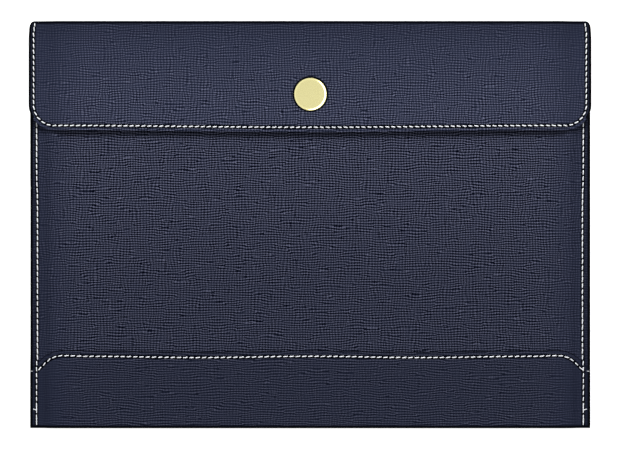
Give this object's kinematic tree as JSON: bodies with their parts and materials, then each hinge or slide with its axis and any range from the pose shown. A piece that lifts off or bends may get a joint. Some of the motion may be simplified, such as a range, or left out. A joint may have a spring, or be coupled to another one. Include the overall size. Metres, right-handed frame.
{
  "type": "document wallet",
  "caption": "Flat sewn faux-leather document wallet with a front pocket, a bottom band and a fold-over flap that closes on a round magnetic snap.",
  "frame": {"origin": "middle of the back's outer face, on which the wallet lies", "axes": "+X across to the right seen from the front, +Y towards the top fold, +Z out of the front face"},
  "size_m": [0.3312, 0.2403, 0.0143],
  "materials": {
    "faux_leather": "navy coated cloth with a pressed cross grain",
    "interlining_board": "grey fibre board",
    "lining_cloth": "dark navy plain weave",
    "sewing_thread": "off-white twisted polyester",
    "gilt_brass": "pale gold, satin face and polished rim",
    "ferrite": "dark sintered ferrite",
    "keeper_steel": "pale gold plated steel"
  },
  "bodies": {
    "pocket": {"back_cover": "faux_leather", "bottom_fold": "faux_leather", "front_band": "faux_leather", "back_interlining": "interlining_board", "back_lining": "lining_cloth", "front_panel": "faux_leather", "front_interlining": "interlining_board", "front_lining": "lining_cloth", "band_stitches": "sewing_thread", "left_seam_stitches": "sewing_thread", "right_seam_stitches": "sewing_thread", "snap_keeper": "keeper_steel", "snap_keeper_rivet": "gilt_brass"},
    "spine": {"top_fold": "faux_leather", "top_fold_lining": "lining_cloth", "top_fold_stitches": "sewing_thread"},
    "flap": {"flap_cover": "faux_leather", "flap_interlining": "interlining_board", "flap_lining": "lining_cloth", "flap_stitches": "sewing_thread", "snap_cap": "gilt_brass", "snap_magnet_case": "gilt_brass", "snap_magnet": "ferrite"}
  },
  "joints": [
    {"name": "spine_fold", "type": "hinge", "parent": "pocket", "child": "spine", "pos_m": [0, 0.12, 0], "axis": [-1, 0, 0], "range_deg": [0, 89]},
    {"name": "flap_fold", "type": "hinge", "parent": "spine", "child": "flap", "pos_m": [0, 0.12, 0.0129], "axis": [-1, 0, 0], "range_deg": [0, 89]}
  ],
  "couplings": [
    {"joint": "flap_fold", "follows": "spine_fold", "ratio": 1}
  ]
}
